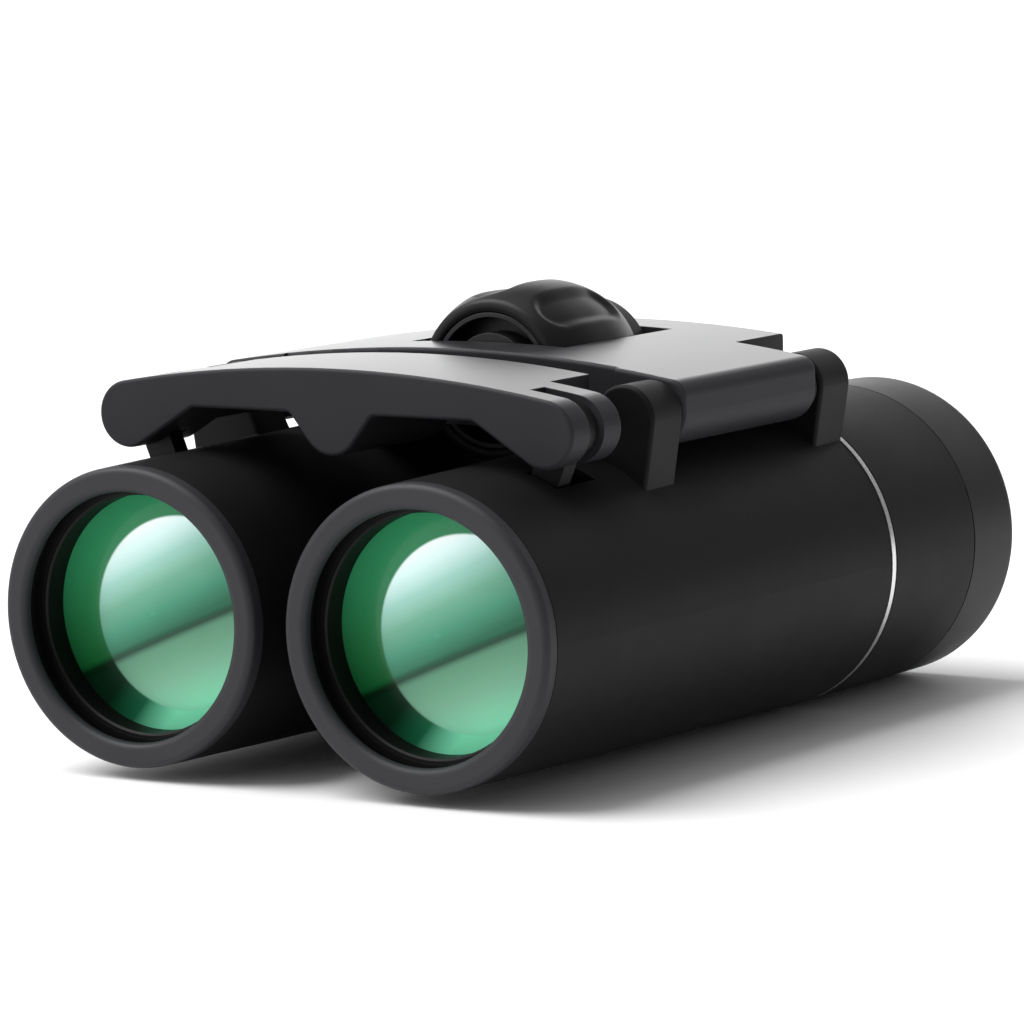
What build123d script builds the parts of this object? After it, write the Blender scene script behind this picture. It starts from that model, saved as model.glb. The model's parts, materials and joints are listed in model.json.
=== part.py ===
"""Folding compact binoculars with two roof-prism barrels on a double-hinge bridge.

Frame: +X across, +Y from the objectives to the eyecups, +Z up, millimetres.  The origin is the
middle of the bottom of the folded binoculars.  "left" and "right" are the user's, so the left
barrel lies on +X.  Threads are plain cylinders at their mean diameter.
"""
from build123d import *
from math import acos, asin, atan2, cos, degrees, hypot, radians, sin, sqrt
import os

os.makedirs("parts", exist_ok=True)

# ---------------------------------------------------------------- overall sizes
LENGTH = 95.0                  # rim faces to eyecup ends
RIM_RADIUS = 15.0              # objective rims
EYEPIECE_RADIUS = 16.25        # collars and eyecups
REAR_STEP = 0.05               # housings' rear edge inside the collars
REAR_RADIUS = EYEPIECE_RADIUS - REAR_STEP
EYECUP_GAP = 1.1               # between the eyecups when folded
AXIS_Z = EYEPIECE_RADIUS       # the eyecups touch the ground
BARREL_X = EYEPIECE_RADIUS + EYECUP_GAP / 2
FRONT = -LENGTH / 2
REAR = LENGTH / 2

# ---------------------------------------------------------------- named clearances
RUNNING = 0.05                 # radial, turning and sliding fits
BODY_GAP = 0.3                 # between bodies that move past each other
SEAT = 0.02                    # between glued or screwed pieces
CUT_PAST = 1.0                 # how far a cut runs on past the face it opens

# ---------------------------------------------------------------- fold hinges
KNUCKLE_RADIUS = 3.4
HINGE_OUTSET = 7.7             # hinge axis outside the barrel axis
KNUCKLE_GAP = 0.7              # knuckle to housing
HINGE_REACH = REAR_RADIUS + KNUCKLE_GAP + KNUCKLE_RADIUS
HINGE_X = BARREL_X + HINGE_OUTSET
HINGE_Z = AXIS_Z + sqrt(HINGE_REACH**2 - HINGE_OUTSET**2)
HINGE_LEAN = degrees(asin(HINGE_OUTSET / HINGE_REACH))
HINGE_PIN_RADIUS = 1.3
PIN_HEAD_STEP = 0.7
PIN_HEAD_RADIUS = HINGE_PIN_RADIUS + PIN_HEAD_STEP
PIN_HEAD_DEPTH = 0.8
STRAP_INSET = 1.2              # how far the strap's outer side leans in
STRAP_FOOT_INNER = 0.86 * REAR_RADIUS   # feet of the straps, inside the housing's wall
STRAP_FOOT_OUTER = 0.66 * REAR_RADIUS
STRAP_TOE = 2.6                # front straps' inner side leans in over the barrel
STRAP_TOE_FOOT = 0.9 * REAR_RADIUS
WASHER_THICKNESS = 0.8

# ---------------------------------------------------------------- focus travel
TRAVEL_BACK = 4.0
TRAVEL_FORWARD = 0.5

# ---------------------------------------------------------------- stations along the barrels
FRONT_BRIDGE_SETBACK = 11.5
FRONT_BRIDGE_Y = FRONT + FRONT_BRIDGE_SETBACK
FRONT_BRIDGE_DEPTH = 16.5
FRONT_KNUCKLE_DEPTH = 9.1
LINK_SLOT_SETBACK = 3.25
LUG_THICKNESS = 2.2
LUG_SIDE_GAP = 0.25
LINK_SLOT_Y = FRONT_BRIDGE_Y + LINK_SLOT_SETBACK
LUG_Y = LINK_SLOT_Y + LUG_SIDE_GAP
LINK_SLOT_END = LUG_Y + LUG_THICKNESS + LUG_SIDE_GAP
STRAP_FRONT_WALL = 1.2
STRAP_ROOM = 2.2                # front knuckles to straps at the end of the travel
FRONT_STRAP_WIDTH = 5.8
REAR_STRAP_WIDTH = 6.1
STRAP_OVERHANG = 0.6           # rear strap over the trim ring
EYECUP_LENGTH = 9.65
COLLAR_LENGTH = 17.95
TRIM_LENGTH = 0.8
BRIDGE_OVERHANG = 3.1          # main bridge past the housings
BRIDGE_SETBACK = 0.6           # its plate behind its knuckles
EYECUP_Y = REAR - EYECUP_LENGTH
COLLAR_Y = EYECUP_Y - COLLAR_LENGTH
HOUSING_REAR = COLLAR_Y - TRIM_LENGTH
FRONT_STRAP_Y = FRONT_BRIDGE_Y + FRONT_KNUCKLE_DEPTH + TRAVEL_BACK + STRAP_ROOM
BRIDGE_KNUCKLE_Y = FRONT_STRAP_Y + FRONT_STRAP_WIDTH + BODY_GAP
REAR_STRAP_END = HOUSING_REAR + STRAP_OVERHANG
REAR_STRAP_Y = REAR_STRAP_END - REAR_STRAP_WIDTH
BRIDGE_KNUCKLE_END = REAR_STRAP_Y - WASHER_THICKNESS - 2 * SEAT - BODY_GAP
BRIDGE_END = HOUSING_REAR + BRIDGE_OVERHANG
BRIDGE_Y = BRIDGE_KNUCKLE_Y + BRIDGE_SETBACK

# ---------------------------------------------------------------- bridge sections
ARCH_RISE = 2.1                # crown of both bridges over their ends
BRIDGE_CROWN = HINGE_Z + KNUCKLE_RADIUS + ARCH_RISE
BRIDGE_UNDER = AXIS_Z + EYEPIECE_RADIUS + BODY_GAP   # underside of the main bridge
BRIDGE_CORNER = 1.7            # round of its upper outer corners
PLATE_LIFT = 1.0               # front bridge's underside over the hinge axes
PLATE_UNDER = HINGE_Z + PLATE_LIFT
PLATE_FLAT = 16.5              # half width of that flat underside
PLATE_HALF = 19.9              # half width behind the front knuckles
CORNER_HALF = 18.6             # half width of the main bridge between the rear straps
PLATE_ROUND = 0.8
LOBE_RADIUS = 3.4
LOBE_WALL = 2.0                # under the focus nut
LOBE_SHOULDER = 4.9
SLOT_X = 21.2                  # inner wall of the link slots
EDGE_ROUND = 0.4
RIB = 1.2
COVER_THICKNESS = 1.2
COVER_MARGIN = 1.0             # outside the covers
SCREW_MARGIN = 5.0
POCKET_ROWS = 4
SMALL_SCREW_RADIUS = 0.8
SMALL_SCREW_LENGTH = 4.2
SCREW_HEAD_RADIUS = 1.5
PLATE_CORE_X = 11.6
PLATE_CORE_STEP_X = 5.6
PLATE_CORE_STEP_Y = 6.2
PLATE_CORE_DEPTH = 1.6

# ---------------------------------------------------------------- focus wheel and screw
WHEEL_RADIUS = 9.7
WHEEL_FACE_RADIUS = 8.2
WHEEL_GAP = 0.7                # wheel to housings
WHEEL_SLOT_GAP = 0.35
WHEEL_SETBACK = 8.0
WHEEL_Y = BRIDGE_Y + WHEEL_SETBACK
GRIP_LENGTH = 16.6
HUB_LENGTH = 20.4
HUB_RADIUS = 7.0
HUB_BOSS_RADIUS = 4.9
HUB_RECESS = 3.0
HUB_RIM = 0.45
GRIP_SHOULDER = GRIP_LENGTH / 7   # where the barrel shape has gained two thirds of its height
GRIP_POCKETS = 7
POCKET_RADIUS = 5.4
POCKET_DEPTH = 0.7
POCKET_LENGTH = 7.0
SCREW_RADIUS = 1.6
SCREW_END_WALL = 1.6
NUT_WALL = 1.0
NUT_RADIUS = SCREW_RADIUS + NUT_WALL
NUT_LENGTH = 7.0
THRUST_RADIUS = 2 * SCREW_RADIUS
THRUST_THICKNESS = 0.4
THRUST_GAP = 0.1
WHEEL_ROOM = THRUST_THICKNESS + 2 * THRUST_GAP
SLOT_Y = WHEEL_Y - WHEEL_ROOM
SLOT_END = WHEEL_Y + HUB_LENGTH + WHEEL_ROOM

# ---------------------------------------------------------------- barrel shells
RIM_FLANGE = 1.0
RIM_DEPTH = 1.8                # visible side of the objective rims
RIM_ROUND = 0.7
CELL_BORE = 13.4
NOSE_WALL = 0.8
NOSE_RADIUS = CELL_BORE + NOSE_WALL
PRISM_BORE = 14.0
MOUNT_STEP = 0.6
MOUNT_BORE = PRISM_BORE + MOUNT_STEP
CELL_BORE_REACH = 24.0
CELL_BORE_END = FRONT + CELL_BORE_REACH
NOSE_Y = FRONT + RIM_FLANGE + SEAT
MOUNT_FLANGE = 3.0

# ---------------------------------------------------------------- objective cell and glass
CELL_RADIUS = CELL_BORE - RUNNING
CELL_ROOM = 1.4                # behind the rims when focused fully forward
CELL_Y = FRONT + RIM_FLANGE + TRAVEL_FORWARD + CELL_ROOM
CELL_LENGTH = 15.6
CELL_WALL = 0.93
RETAINER_LIP = 0.5
RIM_LIP_GAP = 0.6              # rims' edge outside the clear lens
SEAT_LIP = 0.5
LENS_SEAT = CELL_RADIUS - CELL_WALL
LENS_RADIUS = LENS_SEAT - SEAT
LENS_CLEAR = LENS_RADIUS - RETAINER_LIP
RIM_OPENING = LENS_CLEAR + RIM_LIP_GAP
RETAINER_LENGTH = 1.3
OBJECTIVE_RETAINER = 2.7
CROWN_EDGE = 2.4
FLINT_EDGE = 1.8
CROWN_SAG = 1.4
CEMENT_SAG = 1.1
FLINT_SAG = 0.3
CELL_OPENING = LENS_CLEAR - SEAT_LIP
LUG_HALF_WIDTH = 1.6
LUG_EYE_RADIUS = 2.8
LINK_PIN_RADIUS = 1.0

# ---------------------------------------------------------------- baffle and prisms
BAFFLE_LENGTH = 8.5
BAFFLE_WALL = 0.8
BAFFLE_STOP = 9.5
CAGE_WALL = 1.6
CAGE_LENGTH = 25.0
CAGE_WINDOW = 7.5
CAGE_RAIL = 2.4
CAGE_GAP = 2.0                 # cage to eyepiece tube
PRISM_HALF_WIDTH = 8.0
PRISM_HEIGHT = 17.0
AIR_SLIT = 0.3
SLIT_LOW = 3.0                 # its lower end behind the front face
SLIT_HIGH = 5.0                # its upper end before the rear face
CLIP_WIDTH = 6.0
CLIP_THICKNESS = 0.6

# ---------------------------------------------------------------- eyepieces
TUBE_RADIUS = 10.5
TUBE_BORE = TUBE_RADIUS + RUNNING
SPIGOT_WALL = 2.1
SPIGOT_RADIUS = TUBE_RADIUS + SPIGOT_WALL
TUBE_WALL = 1.9
OCULAR_RADIUS = TUBE_RADIUS - TUBE_WALL
TUBE_INSET = 1.5
TUBE_FRONT = HOUSING_REAR - TUBE_INSET
TUBE_SETBACK = 4.5             # tube end inside the eyecup's end
DIOPTER_TRAVEL = 1.0
DIOPTER_PIN_RADIUS = 0.7
DIOPTER_GROOVE = 1.0
THROAT_GAP = 0.4
EYECUP_THROAT = TUBE_RADIUS + THROAT_GAP
EYECUP_STEP = 0.7
EYECUP_OPENING = EYECUP_THROAT + EYECUP_STEP
EYECUP_COUNTERBORE = 4.2
NECK_WALL = 1.7
EYECUP_NECK = SPIGOT_RADIUS + NECK_WALL
EYECUP_NECK_LENGTH = 3.4
EYECUP_ROUND = 1.2
FIELD_EDGE = 2.0
EYE_EDGE = 3.0
OCULAR_SAG = 1.0
FIELD_SAG = 0.2
TUBE_LIP = 1.0
TUBE_OPENING = OCULAR_RADIUS - TUBE_LIP
RING_LIP = 0.6
RETAINER_BORE = OCULAR_RADIUS - RING_LIP


def radius_at(y):
    """Outer radius of the tapered housing at a station."""
    return RIM_RADIUS + (REAR_RADIUS - RIM_RADIUS) * (y - FRONT) / (HOUSING_REAR - FRONT)


FOCUS_Z = AXIS_Z + sqrt(
    (radius_at(WHEEL_Y + GRIP_LENGTH / 2) + WHEEL_GAP + WHEEL_RADIUS) ** 2 - BARREL_X**2
)
FOCUS_AXIS = Axis((0, 0, FOCUS_Z), (0, 1, 0))
FOCUS_PLANE = Plane((0, 0, FOCUS_Z))
LOBE_BOTTOM = FOCUS_Z - NUT_RADIUS - LOBE_WALL


def station(y):
    """Section plane across the barrels; extruding from it with + goes forward."""
    return Plane.XZ.offset(-y)


def ring(plane, inner, outer, front, rear):
    """Half section of a plain ring, for revolving about the plane's Y axis."""
    with BuildSketch(plane) as section:
        with Locations(((inner + outer) / 2, (front + rear) / 2)):
            Rectangle(outer - inner, rear - front)
    return section.sketch


def lens(plane, radius, front, rear, front_sag, rear_sag):
    """Half section of a lens; a positive sag bulges that face outward."""
    with BuildSketch(plane) as section:
        with BuildLine():
            Line((0, rear + rear_sag), (0, front - front_sag))
            TangentArc((0, front - front_sag), (radius, front), tangent=(1, 0))
            Line((radius, front), (radius, rear))
            TangentArc((0, rear + rear_sag), (radius, rear), tangent=(1, 0))
        make_face()
    return section.sketch


def bulge(sag, radius, at):
    """How far a lens face with that sag at its middle still stands out at a smaller radius."""
    return sag * (1 - (at / radius) ** 2)


def on_circle(centre_x, centre_z, radius, angle):
    return (centre_x + radius * cos(radians(angle)), centre_z + radius * sin(radians(angle)))


def tangent_angle(point, centre, radius, sense):
    """Angle on a circle where the line from an outside point touches it."""
    across, up = point[0] - centre[0], point[1] - centre[1]
    return degrees(atan2(up, across) + sense * acos(radius / hypot(across, up)))


def bridge_section(y, corner, under_points, last_angle):
    """Arched bridge section: crown, two ends with rounded upper corners, right half underside."""
    corner_x = HINGE_X + KNUCKLE_RADIUS - corner
    corner_z = HINGE_Z + KNUCKLE_RADIUS - corner
    rise = BRIDGE_CROWN - corner_z
    arch_radius = (corner_x**2 + rise**2 - corner**2) / (2 * ARCH_RISE)
    crown_angle = degrees(atan2(arch_radius - rise, corner_x))
    corner_angles = (crown_angle, crown_angle / 2, 0)
    corner_arc = [on_circle(corner_x, corner_z, corner, angle) for angle in corner_angles]
    end_angles = (0, last_angle / 2, last_angle)
    round_end = [on_circle(HINGE_X, HINGE_Z, KNUCKLE_RADIUS, angle) for angle in end_angles]
    crown_x, crown_z = corner_arc[0]
    with BuildSketch(station(y)) as section:
        with BuildLine():
            ThreePointArc((-crown_x, crown_z), (0, BRIDGE_CROWN), (crown_x, crown_z))
            for side in (-1, 1):
                ThreePointArc(*[(side * x, z) for x, z in corner_arc])
                if corner < KNUCKLE_RADIUS:
                    Line(*[(side * x, z) for x, z in (corner_arc[-1], round_end[0])])
                ThreePointArc(*[(side * x, z) for x, z in round_end])
                Polyline(*[(side * x, z) for x, z in round_end[-1:] + under_points])
            lobe_x, lobe_z = under_points[-1]
            if lobe_x > 0:
                ThreePointArc((-lobe_x, lobe_z), (0, LOBE_BOTTOM), (lobe_x, lobe_z))
        make_face()
        if len(under_points) > 1:
            corners = section.vertices().filter_by(lambda v: abs(v.Y - PLATE_UNDER) < SEAT)
            fillet(corners, PLATE_ROUND)
    return section.sketch


def hinge_strap(side, y, width, toe, toe_foot):
    """Strap from the knuckle down the outer side into the housing's wall, edges rounded."""
    inner = side * (HINGE_X - KNUCKLE_RADIUS - toe)
    outer = side * (HINGE_X + KNUCKLE_RADIUS - STRAP_INSET)
    with BuildPart() as strap:
        with BuildSketch(station(y + width)):
            with BuildLine():
                CenterArc((side * HINGE_X, HINGE_Z), KNUCKLE_RADIUS, 0, 360)
                Line((inner, AXIS_Z + toe_foot), (outer, AXIS_Z + STRAP_FOOT_OUTER))
            make_hull()
        extrude(amount=width)
        fillet(strap.faces().filter_by(Axis.Y).edges(), EDGE_ROUND)
    return strap.part


def axis_point(side, y):
    return (side * BARREL_X, y, AXIS_Z)


def finish(part, name):
    part.label = name
    export_step(part, "parts/" + name + ".step")


# ================================================================ barrels
for side, hand in ((1, "left"), (-1, "right")):
    plane = Plane((side * BARREL_X, 0, AXIS_Z))
    axis = Axis((side * BARREL_X, 0, AXIS_Z), (0, 1, 0))
    hinge_x = side * HINGE_X
    lean = side * HINGE_LEAN

    # Housing: tapered shell, two hinge straps, bores and the slot for the objective's lug
    with BuildPart() as housing:
        with BuildSketch(plane):
            with BuildLine():
                Polyline(
                    (0, NOSE_Y),
                    (NOSE_RADIUS, NOSE_Y),
                    (NOSE_RADIUS, FRONT + RIM_DEPTH + SEAT),
                    (radius_at(FRONT + RIM_DEPTH), FRONT + RIM_DEPTH + SEAT),
                    (REAR_RADIUS, HOUSING_REAR),
                    (0, HOUSING_REAR),
                    close=True,
                )
            make_face()
        revolve(axis=axis)
        add(hinge_strap(side, FRONT_STRAP_Y, FRONT_STRAP_WIDTH, STRAP_TOE, STRAP_TOE_FOOT))
        add(hinge_strap(side, REAR_STRAP_Y, REAR_STRAP_WIDTH, 0, STRAP_FOOT_INNER))
        over_trim = ring(plane, 0, EYEPIECE_RADIUS + BODY_GAP, HOUSING_REAR, HOUSING_REAR + COLLAR_LENGTH)
        revolve(over_trim, axis=axis, mode=Mode.SUBTRACT)
        with Locations((hinge_x, FRONT_STRAP_Y + STRAP_FRONT_WALL, HINGE_Z)):
            Cylinder(
                HINGE_PIN_RADIUS + RUNNING,
                LENGTH,
                rotation=(-90, 0, 0),
                align=(Align.CENTER, Align.CENTER, Align.MIN),
                mode=Mode.SUBTRACT,
            )
        with Locations((hinge_x, REAR_STRAP_END - PIN_HEAD_DEPTH - SEAT, HINGE_Z)):
            Cylinder(
                PIN_HEAD_RADIUS + RUNNING,
                LENGTH,
                rotation=(-90, 0, 0),
                align=(Align.CENTER, Align.CENTER, Align.MIN),
                mode=Mode.SUBTRACT,
            )
        slot_start = LUG_Y - TRAVEL_FORWARD - BODY_GAP
        slot_end = LUG_Y + LUG_THICKNESS + TRAVEL_BACK + BODY_GAP
        with Locations(Location(axis_point(side, (slot_start + slot_end) / 2), (0, lean, 0))):
            Box(
                2 * (LUG_HALF_WIDTH + BODY_GAP),
                slot_end - slot_start,
                HINGE_REACH,
                align=(Align.CENTER, Align.CENTER, Align.MIN),
                mode=Mode.SUBTRACT,
            )
        cell_bore = ring(plane, 0, CELL_BORE, NOSE_Y - CUT_PAST, CELL_BORE_END + CUT_PAST)
        revolve(cell_bore, axis=axis, mode=Mode.SUBTRACT)
        revolve(ring(plane, 0, PRISM_BORE, CELL_BORE_END, HOUSING_REAR), axis=axis, mode=Mode.SUBTRACT)
        revolve(
            ring(plane, 0, MOUNT_BORE, HOUSING_REAR - MOUNT_FLANGE, HOUSING_REAR + CUT_PAST),
            axis=axis,
            mode=Mode.SUBTRACT,
        )
    finish(housing.part, "barrel_housing_" + hand)

    # Objective rim: a guard ring with a rounded face, pushed over the housing's nose
    with BuildPart() as rim:
        with BuildSketch(plane) as rim_section:
            with BuildLine():
                Polyline(
                    (RIM_OPENING, FRONT),
                    (RIM_RADIUS, FRONT),
                    (RIM_RADIUS, FRONT + RIM_DEPTH),
                    (NOSE_RADIUS + SEAT, FRONT + RIM_DEPTH),
                    (NOSE_RADIUS + SEAT, FRONT + RIM_FLANGE),
                    (RIM_OPENING, FRONT + RIM_FLANGE),
                    close=True,
                )
            make_face()
            fillet(rim_section.vertices().group_by(Axis.Y)[0], RIM_ROUND)
        revolve(axis=axis)
    finish(rim.part, "objective_rim_" + hand)

    # Objective cell: sliding sleeve with a lens seat and the lug that the front bridge pushes
    glass_y = CELL_Y + OBJECTIVE_RETAINER + bulge(CROWN_SAG, LENS_RADIUS, LENS_CLEAR) + SEAT
    crown_rear = glass_y + CROWN_EDGE
    flint_rear = crown_rear + SEAT + FLINT_EDGE
    with BuildPart() as cell:
        revolve(ring(plane, 0, CELL_RADIUS, CELL_Y, CELL_Y + CELL_LENGTH), axis=axis)
        with BuildSketch(station(LUG_Y + LUG_THICKNESS)):
            with Locations((hinge_x, HINGE_Z)):
                Circle(LUG_EYE_RADIUS)
            with Locations(Location((side * BARREL_X, AXIS_Z, 0), (0, 0, -lean))):
                Rectangle(2 * LUG_HALF_WIDTH, HINGE_REACH, align=(Align.CENTER, Align.MIN))
        extrude(amount=LUG_THICKNESS)
        with Locations((hinge_x, LUG_Y + LUG_THICKNESS / 2, HINGE_Z)):
            Cylinder(LINK_PIN_RADIUS + RUNNING, LENGTH, rotation=(90, 0, 0), mode=Mode.SUBTRACT)
        seat_rear = flint_rear + bulge(FLINT_SAG, LENS_RADIUS, CELL_OPENING) + SEAT
        revolve(ring(plane, 0, LENS_SEAT, CELL_Y - CUT_PAST, seat_rear), axis=axis, mode=Mode.SUBTRACT)
        opening = ring(plane, 0, CELL_OPENING, CELL_Y, CELL_Y + CELL_LENGTH + CUT_PAST)
        revolve(opening, axis=axis, mode=Mode.SUBTRACT)
    finish(cell.part, "objective_cell_" + hand)

    # Objective glass: a cemented crown and flint, held by a threaded ring
    with BuildPart() as crown:
        revolve(lens(plane, LENS_RADIUS, glass_y, crown_rear, CROWN_SAG, CEMENT_SAG), axis=axis)
    finish(crown.part, "objective_crown_" + hand)
    with BuildPart() as flint:
        flint_section = lens(plane, LENS_RADIUS, crown_rear + SEAT, flint_rear, -CEMENT_SAG, FLINT_SAG)
        revolve(flint_section, axis=axis)
    finish(flint.part, "objective_flint_" + hand)
    with BuildPart() as retainer:
        revolve(ring(plane, LENS_CLEAR, LENS_RADIUS, CELL_Y, CELL_Y + OBJECTIVE_RETAINER), axis=axis)
        chamfer(retainer.edges().filter_by(GeomType.CIRCLE).sort_by(SortBy.RADIUS)[0:1], EDGE_ROUND / 2)
    finish(retainer.part, "objective_retainer_" + hand)

    # Light baffle: a dark cup with a stop, against the front of the prism bore
    baffle_y = CELL_BORE_END + SEAT
    baffle_rear = baffle_y + BAFFLE_LENGTH
    with BuildPart() as baffle:
        revolve(ring(plane, BAFFLE_STOP, PRISM_BORE - SEAT, baffle_y, baffle_y + BAFFLE_WALL), axis=axis)
        tube = ring(plane, PRISM_BORE - SEAT - BAFFLE_WALL, PRISM_BORE - SEAT, baffle_y, baffle_rear)
        revolve(tube, axis=axis)
        stop_inner = BAFFLE_STOP - BAFFLE_WALL
        stop = ring(plane, stop_inner, PRISM_BORE - SEAT, baffle_rear - BAFFLE_WALL, baffle_rear)
        revolve(stop, axis=axis)
    finish(baffle.part, "light_baffle_" + hand)

    # Prism cage: two windowed discs joined by two rails
    cage_rear = TUBE_FRONT - CAGE_GAP
    cage_y = cage_rear - CAGE_LENGTH
    with BuildPart() as cage:
        cage_radius = PRISM_BORE - SEAT
        revolve(ring(plane, CAGE_WINDOW, cage_radius, cage_y, cage_y + CAGE_WALL), axis=axis)
        revolve(ring(plane, CAGE_WINDOW, cage_radius, cage_rear - CAGE_WALL, cage_rear), axis=axis)
        with BuildSketch(station(cage_rear)):
            with Locations((side * BARREL_X, AXIS_Z)):
                Circle(cage_radius)
                Circle(cage_radius - CAGE_RAIL, mode=Mode.SUBTRACT)
                Rectangle(2 * cage_radius, 2 * PRISM_HALF_WIDTH, mode=Mode.INTERSECT)
        extrude(amount=CAGE_LENGTH)
    finish(cage.part, "prism_cage_" + hand)

    # Prisms: a wedge in front and a taller roof prism behind, with a thin slanted air slit
    glass_front = cage_y + CAGE_WALL + SEAT
    glass_rear = cage_rear - CAGE_WALL - SEAT
    split_low = glass_front + SLIT_LOW
    split_high = glass_rear - SLIT_HIGH
    half = PRISM_HEIGHT / 2
    side_plane = Plane(axis_point(side, 0), x_dir=(0, 1, 0), z_dir=(1, 0, 0))
    with BuildPart() as prism_front:
        with BuildSketch(side_plane):
            with BuildLine():
                Polyline(
                    (glass_front, -half),
                    (glass_front, half),
                    (split_high, half),
                    (split_low, -half),
                    close=True,
                )
            make_face()
        extrude(amount=PRISM_HALF_WIDTH, both=True)
    finish(prism_front.part, "prism_front_" + hand)
    with BuildPart() as prism_roof:
        with BuildSketch(side_plane):
            with BuildLine():
                Polyline(
                    (split_low + AIR_SLIT, -half),
                    (split_high + AIR_SLIT, half),
                    (glass_rear, half),
                    (glass_rear, -half),
                    close=True,
                )
            make_face()
        extrude(amount=PRISM_HALF_WIDTH, both=True)
        chamfer(prism_roof.edges().filter_by(Axis.Y).group_by(Axis.Z)[0], PRISM_HALF_WIDTH / 2)
    finish(prism_roof.part, "prism_roof_" + hand)

    # Spring clip that holds the prisms down, bowed over them
    with BuildPart() as clip:
        with BuildSketch(side_plane.offset(-CLIP_WIDTH / 2)):
            with BuildLine():
                Polyline(
                    (glass_front + SEAT, half + SEAT),
                    (glass_rear - SEAT, half + SEAT),
                    (glass_rear - SEAT, half + 3 * CLIP_THICKNESS),
                    (glass_rear - CLIP_THICKNESS, half + 3 * CLIP_THICKNESS),
                    (glass_rear - 2 * CLIP_THICKNESS, half + SEAT + CLIP_THICKNESS),
                    (glass_front + 2 * CLIP_THICKNESS, half + SEAT + CLIP_THICKNESS),
                    (glass_front + CLIP_THICKNESS, half + 3 * CLIP_THICKNESS),
                    (glass_front + SEAT, half + 3 * CLIP_THICKNESS),
                    close=True,
                )
            make_face()
        extrude(amount=CLIP_WIDTH)
    finish(clip.part, "prism_clip_" + hand)

    # Eyepiece mount: flange in the housing's rear and the spigot that carries the collar
    flange_y = HOUSING_REAR - MOUNT_FLANGE
    spigot_rear = EYECUP_Y - EYECUP_NECK_LENGTH - BODY_GAP
    pin_y = COLLAR_Y + COLLAR_LENGTH / 2
    pin_slot = DIOPTER_TRAVEL + DIOPTER_PIN_RADIUS + BODY_GAP
    with BuildPart() as mount:
        revolve(ring(plane, TUBE_BORE, MOUNT_BORE - SEAT, flange_y, HOUSING_REAR), axis=axis)
        revolve(ring(plane, TUBE_BORE, SPIGOT_RADIUS, HOUSING_REAR, spigot_rear), axis=axis)
        if hand == "right":
            with Locations((side * BARREL_X, pin_y, AXIS_Z)):
                Box(
                    2 * (DIOPTER_PIN_RADIUS + RUNNING),
                    2 * pin_slot,
                    EYEPIECE_RADIUS,
                    align=(Align.CENTER, Align.CENTER, Align.MIN),
                    mode=Mode.SUBTRACT,
                )
    finish(mount.part, "eyepiece_mount_" + hand)

    # Bright trim ring between the housing and the collar
    with BuildPart() as trim:
        revolve(
            ring(plane, SPIGOT_RADIUS + SEAT, EYEPIECE_RADIUS, HOUSING_REAR + SEAT, COLLAR_Y - SEAT),
            axis=axis,
        )
    finish(trim.part, "trim_ring_" + hand)

    # Fixed collar on the left, turning diopter ring on the right
    collar_y = COLLAR_Y + (BODY_GAP if hand == "right" else SEAT)
    collar_rear = EYECUP_Y - SEAT
    collar_bore = SPIGOT_RADIUS + (RUNNING if hand == "right" else SEAT)
    with BuildPart() as collar:
        with BuildSketch(plane) as collar_section:
            with BuildLine():
                Polyline(
                    (collar_bore, collar_y),
                    (EYEPIECE_RADIUS, collar_y),
                    (EYEPIECE_RADIUS, collar_rear),
                    (EYECUP_NECK + SEAT, collar_rear),
                    (EYECUP_NECK + SEAT, spigot_rear),
                    (collar_bore, spigot_rear),
                    close=True,
                )
            make_face()
        revolve(axis=axis)
        collar_rims = collar.edges().filter_by(GeomType.CIRCLE).sort_by(SortBy.RADIUS)[-2:]
        chamfer(collar_rims, EDGE_ROUND / 2)
        if hand == "right":
            groove = ring(
                plane, SPIGOT_RADIUS, SPIGOT_RADIUS + DIOPTER_GROOVE, pin_y - pin_slot, pin_y + pin_slot
            )
            revolve(groove, axis=axis, mode=Mode.SUBTRACT)
    finish(collar.part, "eyepiece_collar_left" if hand == "left" else "diopter_ring_right")

    # Rubber eyecup: rounded cuff with a shallow counterbore and a neck pushed into the collar
    with BuildPart() as eyecup:
        with BuildSketch(plane) as cuff:
            with BuildLine():
                Polyline(
                    (EYECUP_THROAT, EYECUP_Y - EYECUP_NECK_LENGTH),
                    (EYECUP_NECK, EYECUP_Y - EYECUP_NECK_LENGTH),
                    (EYECUP_NECK, EYECUP_Y),
                    (EYEPIECE_RADIUS, EYECUP_Y),
                    (EYEPIECE_RADIUS, REAR),
                    (EYECUP_OPENING, REAR),
                    (EYECUP_OPENING, REAR - EYECUP_COUNTERBORE),
                    (EYECUP_THROAT, REAR - EYECUP_COUNTERBORE),
                    close=True,
                )
            make_face()
            fillet(cuff.vertices().group_by(Axis.Y)[-1], EYECUP_ROUND)
            chamfer(cuff.vertices().filter_by(lambda v: v.Y < REAR).sort_by(Axis.X)[-1:], EDGE_ROUND / 2)
        revolve(axis=axis)
    finish(eyecup.part, "eyecup_" + hand)

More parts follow.
